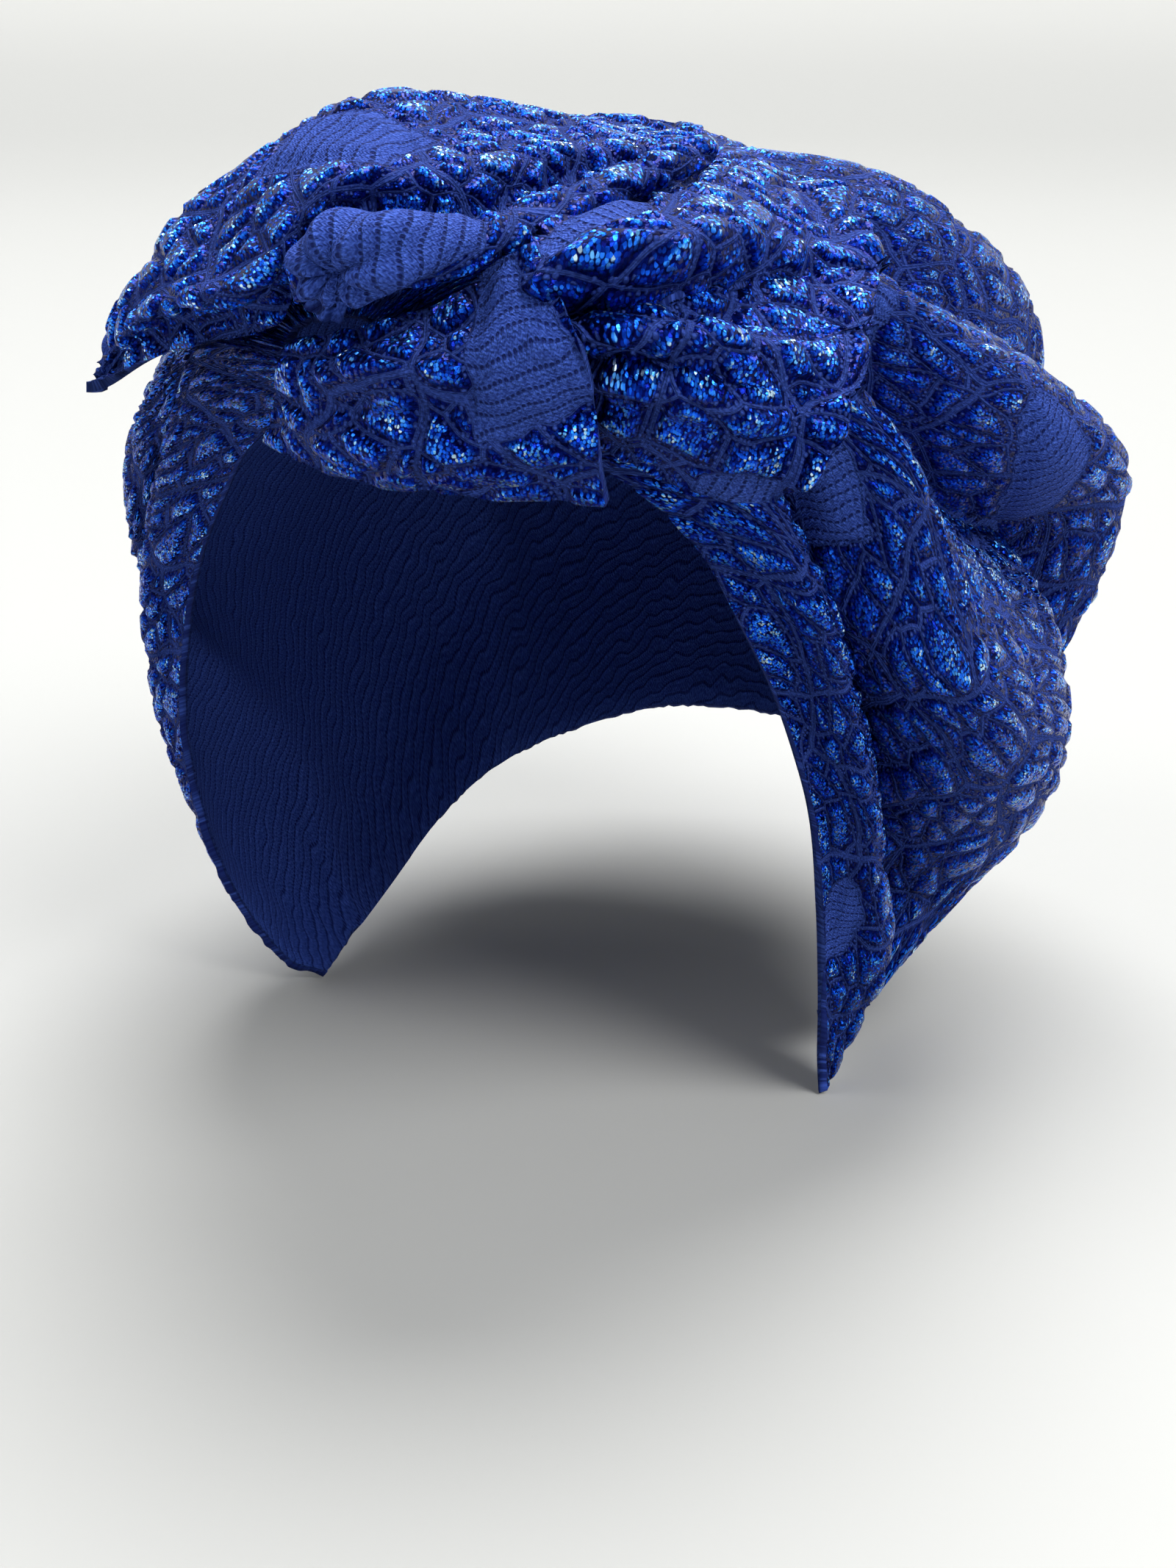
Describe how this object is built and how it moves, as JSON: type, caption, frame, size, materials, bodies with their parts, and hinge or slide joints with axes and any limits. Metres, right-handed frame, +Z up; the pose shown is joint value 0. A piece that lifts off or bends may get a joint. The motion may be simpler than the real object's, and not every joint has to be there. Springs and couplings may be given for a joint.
{
  "type": "turban headwrap",
  "caption": "Soft cloth turban with deep folds over the crown, a slouched back and a gathered bow with a side tail at the front.",
  "frame": {"origin": "on the axis of the wearer's head, level with the hem over the forehead", "axes": "+Z up, -Y the way the wearer faces, +X to the wearer's left"},
  "size_m": [0.2208, 0.2902, 0.2302],
  "materials": {
    "glitter_knit": "blue knit with raised matte cords round cells of glitter",
    "matte_knit": "matte blue knit"
  },
  "bodies": {
    "root": {"crown_cap": "glitter_knit", "side_wing": "glitter_knit", "front_tail": "glitter_knit", "upper_wing": "glitter_knit", "knot_wrap": "matte_knit", "knot_core": "matte_knit"}
  },
  "joints": []
}
